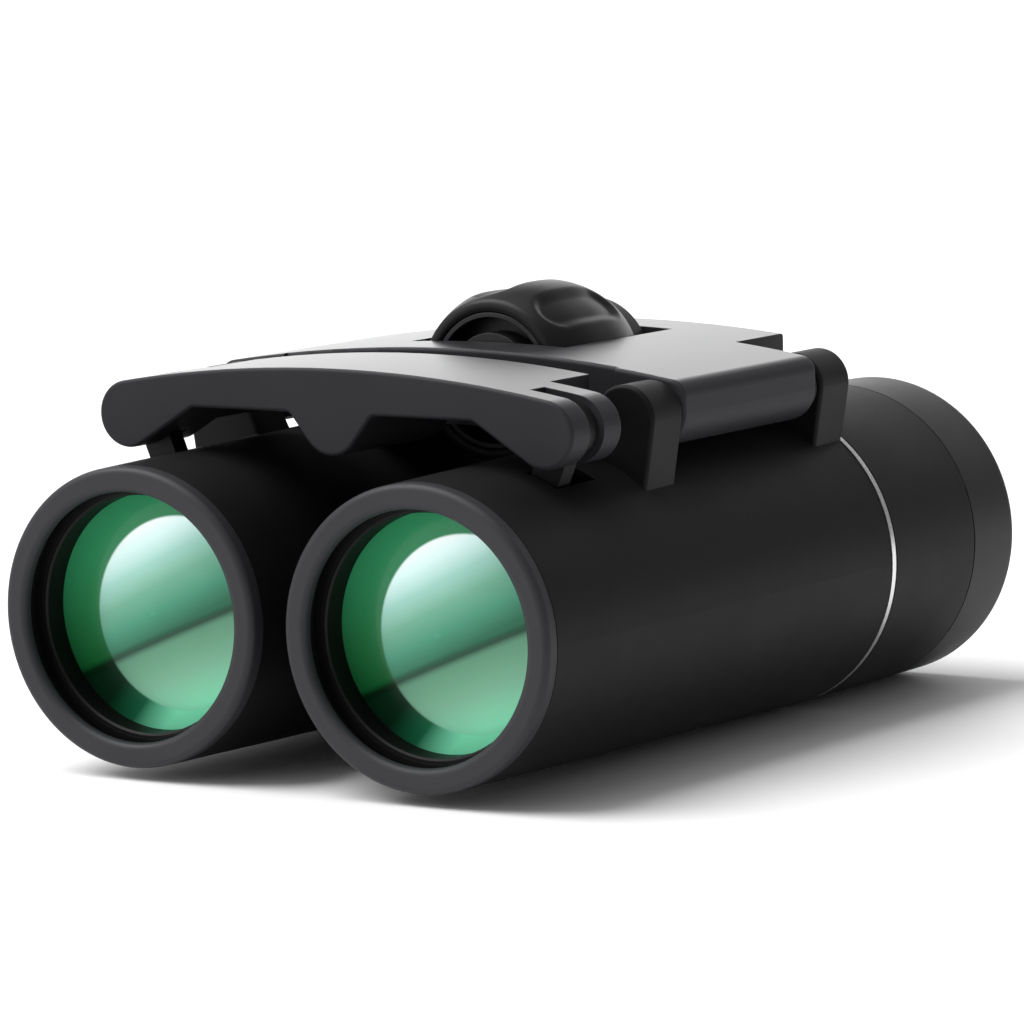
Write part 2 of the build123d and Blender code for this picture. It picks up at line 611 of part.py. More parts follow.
    # Eyepiece tube with its field lens, eye lens and retaining ring
    tube_rear = REAR - TUBE_SETBACK
    eye_rear = tube_rear - RETAINER_LENGTH - bulge(OCULAR_SAG, OCULAR_RADIUS, RETAINER_BORE) - SEAT
    eye_front = eye_rear - EYE_EDGE
    field_front = TUBE_FRONT + RETAINER_LENGTH
    field_rear = field_front + FIELD_EDGE
    shoulder_gap = bulge(OCULAR_SAG, OCULAR_RADIUS, TUBE_OPENING) + SEAT
    with BuildPart() as tube:
        tube_outer = TUBE_RADIUS if hand == "right" else TUBE_BORE - SEAT
        revolve(ring(plane, TUBE_OPENING, tube_outer, TUBE_FRONT, tube_rear), axis=axis)
        field_seat = ring(plane, 0, OCULAR_RADIUS + SEAT, TUBE_FRONT - CUT_PAST, field_rear + shoulder_gap)
        revolve(field_seat, axis=axis, mode=Mode.SUBTRACT)
        eye_seat = ring(plane, 0, OCULAR_RADIUS + SEAT, eye_front - shoulder_gap, tube_rear + CUT_PAST)
        revolve(eye_seat, axis=axis, mode=Mode.SUBTRACT)
        if hand == "right":
            with Locations((side * BARREL_X, pin_y, AXIS_Z + OCULAR_RADIUS)):
                Cylinder(
                    DIOPTER_PIN_RADIUS + SEAT,
                    TUBE_RADIUS,
                    align=(Align.CENTER, Align.CENTER, Align.MIN),
                    mode=Mode.SUBTRACT,
                )
    finish(tube.part, "eyepiece_tube_" + hand)
    with BuildPart() as field_lens:
        revolve(lens(plane, OCULAR_RADIUS, field_front, field_rear, OCULAR_SAG, FIELD_SAG), axis=axis)
    finish(field_lens.part, "field_lens_" + hand)
    with BuildPart() as eye_lens:
        revolve(lens(plane, OCULAR_RADIUS, eye_front, eye_rear, OCULAR_SAG, OCULAR_SAG), axis=axis)
    finish(eye_lens.part, "eye_lens_" + hand)
    with BuildPart() as eye_ring:
        retaining = ring(plane, RETAINER_BORE, OCULAR_RADIUS, tube_rear - RETAINER_LENGTH, tube_rear)
        revolve(retaining, axis=axis)
    finish(eye_ring.part, "eyepiece_retainer_" + hand)

    if hand == "right":
        # Pin from the sliding tube, through the spigot's slot, into the diopter ring's groove
        with BuildPart() as diopter_pin:
            with Locations((side * BARREL_X, pin_y, AXIS_Z + OCULAR_RADIUS + SEAT)):
                Cylinder(
                    DIOPTER_PIN_RADIUS,
                    SPIGOT_RADIUS + DIOPTER_GROOVE - BODY_GAP - OCULAR_RADIUS,
                    align=(Align.CENTER, Align.CENTER, Align.MIN),
                )
        finish(diopter_pin.part, "diopter_pin")

# ================================================================ bridges
# Main bridge: arched block between the straps, with the wheel's well and the pin bores
main_under = [(0, BRIDGE_UNDER)]
main_angle = -180 - degrees(asin((BRIDGE_UNDER - HINGE_Z) / KNUCKLE_RADIUS))
bearing_rear = BRIDGE_END - RIB
cover_y = BRIDGE_Y + RIB
cover_end = BRIDGE_END - RIB
cover_inner = WHEEL_RADIUS + WHEEL_SLOT_GAP + RIB
cover_outer = CORNER_HALF - COVER_MARGIN
with BuildPart() as main_bridge:
    main_section = bridge_section(BRIDGE_END, BRIDGE_CORNER, main_under, main_angle)
    extrude(main_section, amount=BRIDGE_END - BRIDGE_KNUCKLE_Y)
    with Locations((0, BRIDGE_KNUCKLE_Y, HINGE_Z)):
        Box(2 * PLATE_HALF, 2 * (BRIDGE_Y - BRIDGE_KNUCKLE_Y), LENGTH, mode=Mode.SUBTRACT)
    for side in (-1, 1):
        with Locations((side * (CORNER_HALF + HINGE_X / 2), BRIDGE_KNUCKLE_END + LENGTH / 2, HINGE_Z)):
            Box(HINGE_X, LENGTH, LENGTH, mode=Mode.SUBTRACT)
    top_edges = main_bridge.edges().filter_by(GeomType.CIRCLE).filter_by(
        lambda edge: edge.radius > 2 * HINGE_X and edge.center().Z > HINGE_Z
    )
    fillet(top_edges, EDGE_ROUND)
    bearing_boss = ring(FOCUS_PLANE, 0, THRUST_RADIUS, BRIDGE_Y, bearing_rear)
    revolve(bearing_boss, axis=FOCUS_AXIS)
    well_y = (SLOT_Y + SLOT_END) / 2
    with Locations((0, well_y, FOCUS_Z)):
        Cylinder(
            WHEEL_RADIUS + WHEEL_SLOT_GAP,
            SLOT_END - SLOT_Y,
            rotation=(90, 0, 0),
            mode=Mode.SUBTRACT,
        )
        Box(
            2 * (WHEEL_RADIUS + WHEEL_SLOT_GAP),
            SLOT_END - SLOT_Y,
            LENGTH,
            align=(Align.CENTER, Align.CENTER, Align.MAX),
            mode=Mode.SUBTRACT,
        )
    with Locations((0, BRIDGE_Y - CUT_PAST, FOCUS_Z)):
        Cylinder(
            SCREW_RADIUS + RUNNING,
            bearing_rear - BRIDGE_Y + CUT_PAST,
            rotation=(-90, 0, 0),
            align=(Align.CENTER, Align.CENTER, Align.MIN),
            mode=Mode.SUBTRACT,
        )
    with Locations((-HINGE_X, BRIDGE_KNUCKLE_Y, HINGE_Z), (HINGE_X, BRIDGE_KNUCKLE_Y, HINGE_Z)):
        Cylinder(HINGE_PIN_RADIUS + SEAT, 2 * LENGTH, rotation=(90, 0, 0), mode=Mode.SUBTRACT)
    cover_places = [
        (side * (cover_inner + cover_outer) / 2, (cover_y + cover_end) / 2, BRIDGE_UNDER)
        for side in (-1, 1)
    ]
    with Locations(*cover_places):
        Box(
            cover_outer - cover_inner,
            cover_end - cover_y,
            2 * COVER_THICKNESS,
            mode=Mode.SUBTRACT,
        )
    for side in (-1, 1):
        pocket_x = side * (cover_inner + cover_outer) / 2
        pocket_step = (cover_end - cover_y - 2 * SCREW_MARGIN) / POCKET_ROWS
        with Locations((pocket_x, (cover_y + cover_end) / 2, BRIDGE_UNDER + COVER_THICKNESS)):
            with GridLocations(1, pocket_step, 1, POCKET_ROWS):
                Box(
                    cover_outer - cover_inner - 2 * RIB,
                    pocket_step - RIB,
                    HINGE_Z + KNUCKLE_RADIUS - RIB - BRIDGE_UNDER - COVER_THICKNESS,
                    align=(Align.CENTER, Align.CENTER, Align.MIN),
                    mode=Mode.SUBTRACT,
                )
    screw_places = [
        (side * (cover_inner + cover_outer) / 2, y, BRIDGE_UNDER)
        for side in (-1, 1)
        for y in (cover_y + SCREW_MARGIN / 2, cover_end - SCREW_MARGIN / 2)
    ]
    with Locations(*screw_places):
        Cylinder(SMALL_SCREW_RADIUS, 2 * SMALL_SCREW_LENGTH, mode=Mode.SUBTRACT)
finish(main_bridge.part, "main_bridge")

# Covers under the bridge, one on each side of the wheel, and their countersunk screws
for side, hand in ((1, "left"), (-1, "right")):
    with BuildPart() as cover:
        with Locations((side * (cover_inner + cover_outer) / 2, (cover_y + cover_end) / 2, BRIDGE_UNDER)):
            Box(
                cover_outer - cover_inner - 2 * SEAT,
                cover_end - cover_y - 2 * SEAT,
                COVER_THICKNESS - SEAT,
                align=(Align.CENTER, Align.CENTER, Align.MIN),
            )
        with Locations(*[Location(place, (180, 0, 0)) for place in screw_places if place[0] * side > 0]):
            CounterSinkHole(SMALL_SCREW_RADIUS + SEAT, SCREW_HEAD_RADIUS + SEAT, 2 * COVER_THICKNESS)
    finish(cover.part, "bridge_cover_" + hand)

with BuildPart() as bridge_screws:
    with Locations(*screw_places):
        Cylinder(
            SMALL_SCREW_RADIUS,
            SMALL_SCREW_LENGTH - SEAT,
            align=(Align.CENTER, Align.CENTER, Align.MIN),
        )
        Cone(
            SCREW_HEAD_RADIUS,
            SMALL_SCREW_RADIUS,
            SCREW_HEAD_RADIUS - SMALL_SCREW_RADIUS,
            align=(Align.CENTER, Align.CENTER, Align.MIN),
        )
finish(bridge_screws.part, "bridge_screws")

# Hinge pins, pressed in the main bridge, with heads in the rear straps' counterbores
pin_front = FRONT_STRAP_Y + STRAP_FRONT_WALL + BODY_GAP
with BuildPart() as hinge_pins:
    with Locations((-HINGE_X, pin_front, HINGE_Z), (HINGE_X, pin_front, HINGE_Z)):
        Cylinder(
            HINGE_PIN_RADIUS,
            REAR_STRAP_END - pin_front,
            rotation=(-90, 0, 0),
            align=(Align.CENTER, Align.CENTER, Align.MIN),
        )
    head_y = REAR_STRAP_END - PIN_HEAD_DEPTH
    with Locations((-HINGE_X, head_y, HINGE_Z), (HINGE_X, head_y, HINGE_Z)):
        Cylinder(
            PIN_HEAD_RADIUS,
            PIN_HEAD_DEPTH,
            rotation=(-90, 0, 0),
            align=(Align.CENTER, Align.CENTER, Align.MIN),
        )
finish(hinge_pins.part, "hinge_pins")

# Friction washers between the knuckles and the rear straps
washer_y = BRIDGE_KNUCKLE_END + SEAT
with BuildPart() as hinge_washers:
    with Locations((-HINGE_X, washer_y, HINGE_Z), (HINGE_X, washer_y, HINGE_Z)):
        Cylinder(
            KNUCKLE_RADIUS - EDGE_ROUND,
            WASHER_THICKNESS,
            rotation=(-90, 0, 0),
            align=(Align.CENTER, Align.CENTER, Align.MIN),
        )
        Cylinder(HINGE_PIN_RADIUS + SEAT, LENGTH, rotation=(90, 0, 0), mode=Mode.SUBTRACT)
finish(hinge_washers.part, "hinge_washers")

# Front bridge: arched plate with the nut's lobe, round ends and the two link slots
lobe_z = LOBE_BOTTOM + LOBE_RADIUS
plate_corner = (PLATE_FLAT, PLATE_UNDER)
lobe_shoulder = (LOBE_SHOULDER, PLATE_UNDER)
knuckle_angle = tangent_angle(plate_corner, (HINGE_X, HINGE_Z), KNUCKLE_RADIUS, 1) - 360
lobe_angle = tangent_angle(lobe_shoulder, (0, lobe_z), LOBE_RADIUS, -1)
plate_under = [plate_corner, lobe_shoulder, on_circle(0, lobe_z, LOBE_RADIUS, lobe_angle)]
front_bridge_end = FRONT_BRIDGE_Y + FRONT_BRIDGE_DEPTH
with BuildPart() as front_bridge:
    plate = bridge_section(front_bridge_end, KNUCKLE_RADIUS, plate_under, knuckle_angle)
    extrude(plate, amount=FRONT_BRIDGE_DEPTH)
    knuckle_end = FRONT_BRIDGE_Y + FRONT_KNUCKLE_DEPTH
    for side in (-1, 1):
        with Locations((side * (PLATE_HALF + HINGE_X / 2), knuckle_end + LENGTH / 2, HINGE_Z)):
            Box(HINGE_X, LENGTH, LENGTH, mode=Mode.SUBTRACT)
    fillet(front_bridge.faces().sort_by(Axis.Y)[0].edges(), EDGE_ROUND)
    for side in (-1, 1):
        with Locations((side * (SLOT_X + HINGE_X / 2), (LINK_SLOT_Y + LINK_SLOT_END) / 2, HINGE_Z)):
            Box(HINGE_X, LINK_SLOT_END - LINK_SLOT_Y, LENGTH, mode=Mode.SUBTRACT)
        with Locations((side * PLATE_CORE_X, (FRONT_BRIDGE_Y + front_bridge_end) / 2, PLATE_UNDER)):
            with GridLocations(PLATE_CORE_STEP_X, PLATE_CORE_STEP_Y, 2, 2):
                Box(
                    PLATE_CORE_STEP_X - RIB,
                    PLATE_CORE_STEP_Y - RIB,
                    2 * PLATE_CORE_DEPTH,
                    mode=Mode.SUBTRACT,
                )
    with Locations((0, front_bridge_end, FOCUS_Z)):
        Cylinder(
            SCREW_RADIUS + BODY_GAP,
            FRONT_BRIDGE_DEPTH - SCREW_END_WALL,
            rotation=(90, 0, 0),
            align=(Align.CENTER, Align.CENTER, Align.MIN),
            mode=Mode.SUBTRACT,
        )
        Cylinder(
            NUT_RADIUS + SEAT,
            NUT_LENGTH + SEAT,
            rotation=(90, 0, 0),
            align=(Align.CENTER, Align.CENTER, Align.MIN),
            mode=Mode.SUBTRACT,
        )
    link_front = FRONT_BRIDGE_Y + SCREW_END_WALL
    with Locations((-HINGE_X, link_front, HINGE_Z), (HINGE_X, link_front, HINGE_Z)):
        Cylinder(
            LINK_PIN_RADIUS + SEAT,
            LENGTH,
            rotation=(-90, 0, 0),
            align=(Align.CENTER, Align.CENTER, Align.MIN),
            mode=Mode.SUBTRACT,
        )
finish(front_bridge.part, "front_bridge")

# Link pins through the link slots, on which the objective lugs turn
with BuildPart() as link_pins:
    with Locations((-HINGE_X, link_front + SEAT, HINGE_Z), (HINGE_X, link_front + SEAT, HINGE_Z)):
        Cylinder(
            LINK_PIN_RADIUS,
            knuckle_end - link_front - 2 * SEAT,
            rotation=(-90, 0, 0),
            align=(Align.CENTER, Align.CENTER, Align.MIN),
        )
finish(link_pins.part, "link_pins")

# Brass focus nut in the lobe
with BuildPart() as focus_nut:
    nut_y = front_bridge_end - NUT_LENGTH
    revolve(ring(FOCUS_PLANE, SCREW_RADIUS + RUNNING, NUT_RADIUS, nut_y, front_bridge_end), axis=FOCUS_AXIS)
finish(focus_nut.part, "focus_nut")

# ================================================================ focus wheel
hub_end = WHEEL_Y + HUB_LENGTH
grip_end = WHEEL_Y + GRIP_LENGTH
with BuildPart() as wheel_hub:
    revolve(ring(FOCUS_PLANE, SCREW_RADIUS, HUB_RADIUS, WHEEL_Y, hub_end), axis=FOCUS_AXIS)
    recess_y = WHEEL_Y - CUT_PAST
    recess = ring(FOCUS_PLANE, HUB_BOSS_RADIUS, HUB_RADIUS - HUB_RIM, recess_y, WHEEL_Y + HUB_RECESS)
    revolve(recess, axis=FOCUS_AXIS, mode=Mode.SUBTRACT)
finish(wheel_hub.part, "focus_wheel_hub")

# Rubber grip: barrel-shaped ring with capsule pockets for the fingertip
shoulder_radius = WHEEL_RADIUS - (WHEEL_RADIUS - WHEEL_FACE_RADIUS) / 3
with BuildPart() as wheel_grip:
    with BuildSketch(FOCUS_PLANE) as grip_section:
        with BuildLine():
            Line((HUB_RADIUS + SEAT, WHEEL_Y), (WHEEL_FACE_RADIUS, WHEEL_Y))
            ThreePointArc(
                (WHEEL_FACE_RADIUS, WHEEL_Y),
                (shoulder_radius, WHEEL_Y + GRIP_SHOULDER),
                (WHEEL_RADIUS, WHEEL_Y + GRIP_LENGTH / 2),
            )
            ThreePointArc(
                (WHEEL_RADIUS, WHEEL_Y + GRIP_LENGTH / 2),
                (shoulder_radius, grip_end - GRIP_SHOULDER),
                (WHEEL_FACE_RADIUS, grip_end),
            )
            Polyline(
                (WHEEL_FACE_RADIUS, grip_end),
                (HUB_RADIUS + SEAT, grip_end),
                (HUB_RADIUS + SEAT, WHEEL_Y),
            )
        make_face()
    revolve(axis=FOCUS_AXIS)
    pocket_reach = WHEEL_RADIUS - POCKET_DEPTH + POCKET_RADIUS
    for index in range(GRIP_POCKETS):
        hollow_x, hollow_z = on_circle(0, FOCUS_Z, pocket_reach, 360 * index / GRIP_POCKETS)
        hollow_y = WHEEL_Y + GRIP_LENGTH / 2
        with Locations((hollow_x, hollow_y, hollow_z)):
            Cylinder(POCKET_RADIUS, POCKET_LENGTH, rotation=(90, 0, 0), mode=Mode.SUBTRACT)
        with Locations(
            (hollow_x, hollow_y - POCKET_LENGTH / 2, hollow_z),
            (hollow_x, hollow_y + POCKET_LENGTH / 2, hollow_z),
        ):
            Sphere(POCKET_RADIUS, mode=Mode.SUBTRACT)
finish(wheel_grip.part, "focus_wheel_grip")

# Focus screw: through the wheel, its front end in the nut
screw_front = FRONT_BRIDGE_Y + SCREW_END_WALL + TRAVEL_BACK + BODY_GAP
screw_rear = bearing_rear - BODY_GAP
with BuildPart() as focus_screw:
    revolve(ring(FOCUS_PLANE, 0, SCREW_RADIUS, screw_front, screw_rear), axis=FOCUS_AXIS)
    chamfer(focus_screw.edges().sort_by(Axis.Y)[0], EDGE_ROUND)
finish(focus_screw.part, "focus_screw")

# Thrust washers before and behind the wheel
with BuildPart() as thrust_washers:
    for washer_front in (SLOT_Y + SEAT, SLOT_END - SEAT - THRUST_THICKNESS):
        washer_rear = washer_front + THRUST_THICKNESS
        washer = ring(FOCUS_PLANE, SCREW_RADIUS + RUNNING, THRUST_RADIUS, washer_front, washer_rear)
        revolve(washer, axis=FOCUS_AXIS)
finish(thrust_washers.part, "thrust_washers")
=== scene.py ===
"""Looks for the folding compact binoculars: studio, camera, materials and finer pieces.

Metres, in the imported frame: +X across, +Y from the objectives to the eyecups, +Z up.
"""
import json
import math

import bmesh
import bpy
from mathutils import Matrix, Vector


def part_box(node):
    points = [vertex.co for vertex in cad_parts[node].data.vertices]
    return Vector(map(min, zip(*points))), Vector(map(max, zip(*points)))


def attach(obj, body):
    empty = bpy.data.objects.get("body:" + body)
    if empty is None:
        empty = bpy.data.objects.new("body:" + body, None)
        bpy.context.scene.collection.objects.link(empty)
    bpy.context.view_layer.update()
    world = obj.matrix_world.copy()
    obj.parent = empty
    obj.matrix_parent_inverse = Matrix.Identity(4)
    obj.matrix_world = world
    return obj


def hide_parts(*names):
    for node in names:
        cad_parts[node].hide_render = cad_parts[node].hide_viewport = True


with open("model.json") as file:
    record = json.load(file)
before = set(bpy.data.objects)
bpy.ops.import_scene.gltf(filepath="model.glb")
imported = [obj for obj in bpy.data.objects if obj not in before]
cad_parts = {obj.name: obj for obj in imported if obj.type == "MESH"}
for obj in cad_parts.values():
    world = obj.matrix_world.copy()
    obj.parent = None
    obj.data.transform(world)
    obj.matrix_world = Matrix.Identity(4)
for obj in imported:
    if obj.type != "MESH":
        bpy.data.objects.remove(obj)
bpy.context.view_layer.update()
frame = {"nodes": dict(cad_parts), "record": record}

MM = 0.001


# ---------------------------------------------------------------- places read from the frame
def centre(node):
    low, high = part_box(node)
    return (low + high) / 2


# ---------------------------------------------------------------- procedural materials
class Finish:
    """One Principled material whose colour, roughness and relief come from nodes."""

    def __init__(self, name, **sockets):
        self.material = bpy.data.materials.new(name)
        self.material.use_nodes = True
        self.tree = self.material.node_tree
        self.shader = self.tree.nodes["Principled BSDF"]
        for socket, value in sockets.items():
            self.shader.inputs[socket.replace("_", " ")].default_value = value
        coordinates = self.node("ShaderNodeTexCoord")
        scale = self.node("ShaderNodeVectorMath", operation="SCALE")
        scale.inputs["Scale"].default_value = 1 / MM
        self.link(coordinates.outputs["Object"], scale.inputs[0])
        self.place = scale.outputs[0]
        self.normal = None

    def node(self, kind, **settings):
        made = self.tree.nodes.new(kind)
        for setting, value in settings.items():
            setattr(made, setting, value)
        return made

    def link(self, source, target):
        self.tree.links.new(source, target)

    def noise(self, size, detail=3.0, roughness=0.5, stretch=(1, 1, 1)):
        """Noise in features of that size in millimetres, stretched along an axis where asked."""
        mapping = self.node("ShaderNodeMapping")
        mapping.inputs["Scale"].default_value = [1 / (size * s) for s in stretch]
        texture = self.node("ShaderNodeTexNoise")
        texture.inputs["Scale"].default_value = 1.0
        texture.inputs["Detail"].default_value = detail
        texture.inputs["Roughness"].default_value = roughness
        self.link(self.place, mapping.inputs["Vector"])
        self.link(mapping.outputs["Vector"], texture.inputs["Vector"])
        return texture.outputs["Fac"]

    def calculate(self, operation, first, second=0.0, third=0.0):
        made = self.node("ShaderNodeMath", operation=operation)
        for index, value in enumerate((first, second, third)):
            if isinstance(value, (int, float)):
                made.inputs[index].default_value = value
            else:
                self.link(value, made.inputs[index])
        return made.outputs[0]

    def spread(self, value, low, high, start=0.3, end=0.7):
        """Maps a texture's middle range to the given values."""
        made = self.node("ShaderNodeMapRange")
        made.inputs["From Min"].default_value = start
        made.inputs["From Max"].default_value = end
        made.inputs["To Min"].default_value = low
        made.inputs["To Max"].default_value = high
        self.link(value, made.inputs["Value"])
        return made.outputs["Result"]

    def ramp(self, value, stops):
        made = self.node("ShaderNodeValToRGB")
        ramp = made.color_ramp
        while len(ramp.elements) < len(stops):
            ramp.elements.new(1.0)
        for element, (position, colour) in zip(ramp.elements, stops):
            element.position = position
            element.color = (*colour, 1.0)
        self.link(value, made.inputs["Fac"])
        return made.outputs["Color"]

    def mix(self, factor, first, second):
        made = self.node("ShaderNodeMix", data_type="RGBA")
        self.link(factor, made.inputs["Factor"])
        self.link(first, made.inputs["A"])
        self.link(second, made.inputs["B"])
        return made.outputs["Result"]

    def scaled(self, colour, amount):
        made = self.node("ShaderNodeVectorMath", operation="SCALE")
        self.link(colour, made.inputs[0])
        self.link(amount, made.inputs["Scale"])
        return made.outputs[0]

    def colour(self, value, dark, light):
        self.link(self.ramp(value, ((0.3, dark), (0.7, light))), self.shader.inputs["Base Color"])

    def roughness(self, value, low, high):
        self.link(self.spread(value, low, high), self.shader.inputs["Roughness"])

    def relief(self, height, depth):
        """Bump of that depth in millimetres, on top of any bump already there."""
        bump = self.node("ShaderNodeBump")
        bump.inputs["Distance"].default_value = depth * MM
        self.link(height, bump.inputs["Height"])
        if self.normal is not None:
            self.link(self.normal, bump.inputs["Normal"])
        self.normal = bump.outputs["Normal"]
        self.link(self.normal, self.shader.inputs["Normal"])

    def soften(self, radius):
        """Rounds sharp edges in the shading; called before the relief."""
        bevel = self.node("ShaderNodeBevel", samples=6)
        bevel.inputs["Radius"].default_value = radius * MM
        self.normal = bevel.outputs["Normal"]
        self.link(self.normal, self.shader.inputs["Normal"])


def grey(value, tint_and_reflection=0.0):
    """Grey of that linear value, its blue raised by the tint."""
    return (value, value, value * (1 + tint_and_reflection))


CLOUD_SIZE, CLOUD_SHARE = 9.0, 0.65


def moulded(name, dark, light, rough, grain, depth, soften=0.0, **sockets):
    """Moulded plastic or rubber: fine grain of that size and depth in mm over soft clouding."""
    finish = Finish(name, **sockets)
    if soften:
        finish.soften(soften)
    cloud = finish.calculate("MULTIPLY", finish.noise(CLOUD_SIZE, 4.0), CLOUD_SHARE)
    fine = finish.noise(grain, 2.0)
    mixed = finish.calculate("MULTIPLY_ADD", fine, 1 - CLOUD_SHARE, cloud)
    finish.colour(mixed, dark, light)
    finish.roughness(mixed, rough - 0.05, rough + 0.06)
    finish.relief(fine, depth)
    return finish


def metal(name, dark, light, rough, streak=(1, 1, 1), grain=0.12, depth=0.002):
    """Turned or drawn metal, its fine marks stretched along the streak."""
    finish = Finish(name, Metallic=1.0)
    fine = finish.noise(grain, 3.0, stretch=streak)
    finish.colour(fine, dark, light)
    finish.roughness(fine, rough - 0.08, rough + 0.1)
    finish.relief(fine, depth)
    return finish


armour = moulded(
    "armour", grey(0.0035, 0.1), grey(0.0065, 0.1), 0.5, 0.22, 0.012, soften=0.12,
    Specular_IOR_Level=0.12, Sheen_Weight=0.01, Sheen_Roughness=0.5,
)
rim = moulded(
    "rim", grey(0.022, 0.14), grey(0.029, 0.14), 0.5, 0.18, 0.008, soften=0.15,
    Specular_IOR_Level=0.25,
)
bridge = moulded(
    "bridge", grey(0.023, 0.14), grey(0.028, 0.14), 0.3, 0.16, 0.001, soften=0.15,
    Specular_IOR_Level=0.45,
)
# The bridges are satin where they face up and duller on their flanks
FLANK_SPECULAR, TOP_SPECULAR = 0.1, 0.45
FLANK_ROUGHNESS, TOP_ROUGHNESS = 0.46, 0.29
facing = bridge.node("ShaderNodeSeparateXYZ")
bridge.link(bridge.node("ShaderNodeNewGeometry").outputs["Normal"], facing.inputs[0])
upward = bridge.spread(facing.outputs["Z"], 0, 1, 0.75, 0.97)
for socket, flank, top in (
    ("Specular IOR Level", FLANK_SPECULAR, TOP_SPECULAR),
    ("Roughness", FLANK_ROUGHNESS, TOP_ROUGHNESS),
):
    blended = bridge.calculate("MULTIPLY_ADD", upward, top - flank, flank)
    bridge.link(blended, bridge.shader.inputs[socket])
wheel_hub = moulded(
    "wheel_hub", grey(0.010, 0.1), grey(0.016, 0.1), 0.4, 0.2, 0.006, soften=0.1,
    Specular_IOR_Level=0.35,
)
wheel_rubber = moulded(
    "wheel_rubber", grey(0.007, 0.1), grey(0.011, 0.1), 0.4, 0.2, 0.006,
    Specular_IOR_Level=0.2, Sheen_Weight=0.01, Sheen_Roughness=0.4,
)
eyecup_rubber = moulded(
    "eyecup_rubber", grey(0.008, 0.12), grey(0.012, 0.12), 0.45, 0.24, 0.010,
    Specular_IOR_Level=0.18, Sheen_Weight=0.01, Sheen_Roughness=0.4,
)
inner_black = moulded(
    "inner_black", grey(0.002), grey(0.004), 0.5, 0.3, 0.01, soften=0.08,
    Specular_IOR_Level=0.2,
)
bright_trim = metal("bright_trim", grey(0.62), grey(0.82), 0.24, streak=(1, 0.2, 1))
steel = metal("steel", grey(0.42), grey(0.6), 0.3, streak=(1, 4, 1))
brass = metal("brass", (0.52, 0.36, 0.12), (0.68, 0.5, 0.2), 0.3, streak=(1, 0.3, 1))


def polished(name, dark, light, **sockets):
    """Plain polished glass with a trace of dust."""
    finish = Finish(name, **sockets)
    dust = finish.noise(3.0, 6.0)
    finish.colour(dust, dark, light)
    finish.roughness(dust, 0.02, 0.06)
    return finish


def linear(red, green, blue):
    """Display colour, 0 to 255, as the linear value that a shader takes."""
    return tuple(
        c / 12.92 if c <= 0.04045 else ((c + 0.055) / 1.055) ** 2.4
        for c in (red / 255, green / 255, blue / 255)
    )


# Objective glass's painted reflection (bright disc, dark slanting band, lit and shaded green
# zones) and painted glow, in millimetres from the lens's middle
BAND_SLOPE, BAND_HEIGHT, BAND_SOFT = 0.42, -3.0, 0.35
BAND_SHADE, BAND_WIDTH = 0.3, 0.75
SHADE_SLANT = 0.5
DISC_SHIFT, DISC_RADIUS, DISC_SOFT = 3.0, 9.75, 0.12
FILM_MIRROR = 0.4
# share of the painted colour that also shines as emission: a painted glow, though the glass is no
# lamp
PAINTED_GLOW = 0.2
INNER_HIGH_SPAN, INNER_LOW_SPAN = (-5, 10), (-8, 0)
OUTER_HIGH_SPAN, OUTER_LOW_SPAN = (0, 14), (3, 12)
# colour ramps of the painted reflection over the green coating: inside and outside the disc, above
# and below the band
INNER_HIGH = (
    (0.0, linear(30, 86, 60)),
    (0.17, linear(39, 96, 71)),
    (0.33, linear(66, 134, 108)),
    (0.5, linear(102, 158, 133)),
    (0.67, linear(148, 195, 182)),
    (0.83, linear(209, 237, 233)),
    (1.0, linear(250, 255, 254)),
)
INNER_LOW = (
    (0.0, linear(118, 205, 165)),
    (0.15, linear(118, 190, 155)),
    (0.46, linear(108, 160, 132)),
    (0.69, linear(96, 145, 118)),
    (0.9, linear(84, 132, 106)),
    (1.0, linear(80, 128, 102)),
)
OUTER_HIGH = (
    (0.0, linear(14, 76, 36)),
    (0.4, linear(32, 104, 60)),
    (0.8, linear(44, 130, 84)),
    (1.0, linear(48, 136, 90)),
)
OUTER_LOW = (
    (0.0, linear(4, 34, 18)),
    (0.5, linear(18, 86, 56)),
    (1.0, linear(120, 220, 175)),
)


